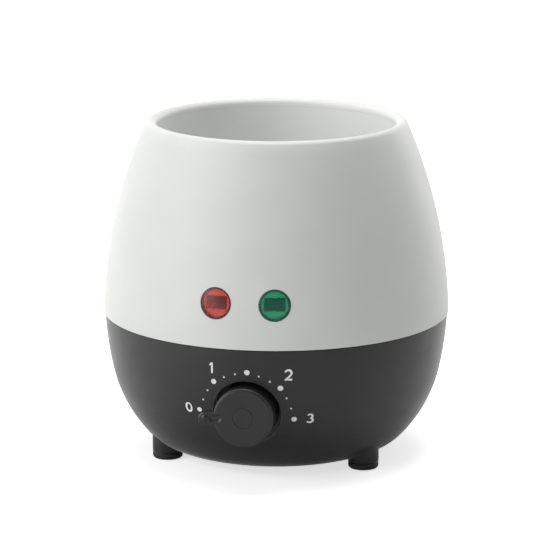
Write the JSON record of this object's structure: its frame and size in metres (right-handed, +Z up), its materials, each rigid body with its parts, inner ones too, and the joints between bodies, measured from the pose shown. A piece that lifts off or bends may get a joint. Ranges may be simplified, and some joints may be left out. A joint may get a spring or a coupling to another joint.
{
  "type": "electric sake warmer",
  "caption": "Round table-top electric sake warmer: open water well in a white shell, black base with a rotary heat dial, red and green lamps and stub legs.",
  "frame": {"origin": "on the body's axis at table level, under the middle of the overall box", "axes": "+Z up from the table, -Y towards the dial side (front), +X to the right as seen from the front"},
  "size_m": [0.1707, 0.177, 0.1652],
  "materials": {
    "shell_white": "satin moulded polypropylene",
    "well_coating": "light grey non-stick coating on aluminium",
    "silicone": "silicone rubber",
    "base_black": "satin moulded plastic",
    "knob_black": "satin moulded plastic",
    "rubber_black": "matt rubber",
    "steel": "zinc plated steel",
    "plate_steel": "aluminised sheet steel",
    "heater_steel": "annealed stainless sheath",
    "brass": "turned brass",
    "tab_brass": "tinned brass",
    "copper": "drawn copper alloy",
    "phenolic": "moulded phenolic",
    "lens_red": "clear red plastic",
    "lens_green": "clear green plastic",
    "lamp_dark": "dark lamp case",
    "holder_white": "white moulded plastic",
    "ceramic": "fired ceramic",
    "block_ivory": "moulded nylon",
    "wire_red": "glass-braid insulation",
    "wire_blue": "silicone insulation",
    "wire_grey": "two-core sleeve"
  },
  "bodies": {
    "pot": {"upper_shell": "shell_white", "inner_vessel": "well_coating", "vessel_studs": "steel", "rim_gasket": "silicone", "base_shell": "base_black", "foot_pads": "rubber_black", "lever_pin": "steel", "thermostat_body": "phenolic", "thermostat_bush": "brass", "thermostat_cover": "phenolic", "thermostat_washer": "steel", "thermostat_nut": "brass", "thermostat_tabs": "tab_brass", "capillary_bulb": "copper", "red_lens": "lens_red", "green_lens": "lens_green", "red_lamp": "lamp_dark", "green_lamp": "lamp_dark", "lamp_holders": "holder_white", "lamp_screws": "steel", "heater_element": "heater_steel", "heater_seals": "ceramic", "clamp_plate": "plate_steel", "clamp_nuts": "steel", "plate_spacers": "steel", "carrier_plate": "plate_steel", "carrier_nuts": "steel", "carrier_screws": "steel", "thermal_fuse": "ceramic", "sensor_strap": "plate_steel", "strap_nut": "steel", "cord_gland": "rubber_black", "gland_nut": "base_black", "terminal_block": "block_ivory", "terminal_screws": "tab_brass", "block_screw": "steel", "heater_leads": "wire_red", "thermostat_leads": "wire_blue", "lamp_leads": "wire_grey", "base_screws": "steel"},
    "dial": {"knob": "knob_black", "knob_spring": "steel", "spindle": "steel"},
    "plunger": {"setting_plunger": "brass"},
    "lever": {"contact_lever": "copper"}
  },
  "joints": [
    {"name": "dial_turn", "type": "hinge", "parent": "pot", "child": "dial", "pos_m": [0, -0.08, 0.0383], "axis": [0, 1, 0], "range_deg": [0, 185]},
    {"name": "plunger_slide", "type": "slide", "parent": "pot", "child": "plunger", "axis": [0, 1, 0], "range_m": [0, 0.0007]},
    {"name": "lever_tilt", "type": "hinge", "parent": "pot", "child": "lever", "pos_m": [0, -0.052, 0.0485], "axis": [1, 0, 0], "range_deg": [0, 4]}
  ],
  "couplings": [
    {"joint": "plunger_slide", "follows": "dial_turn", "m_per_rad": 0.000216},
    {"joint": "lever_tilt", "follows": "dial_turn", "ratio": 0.0212}
  ]
}
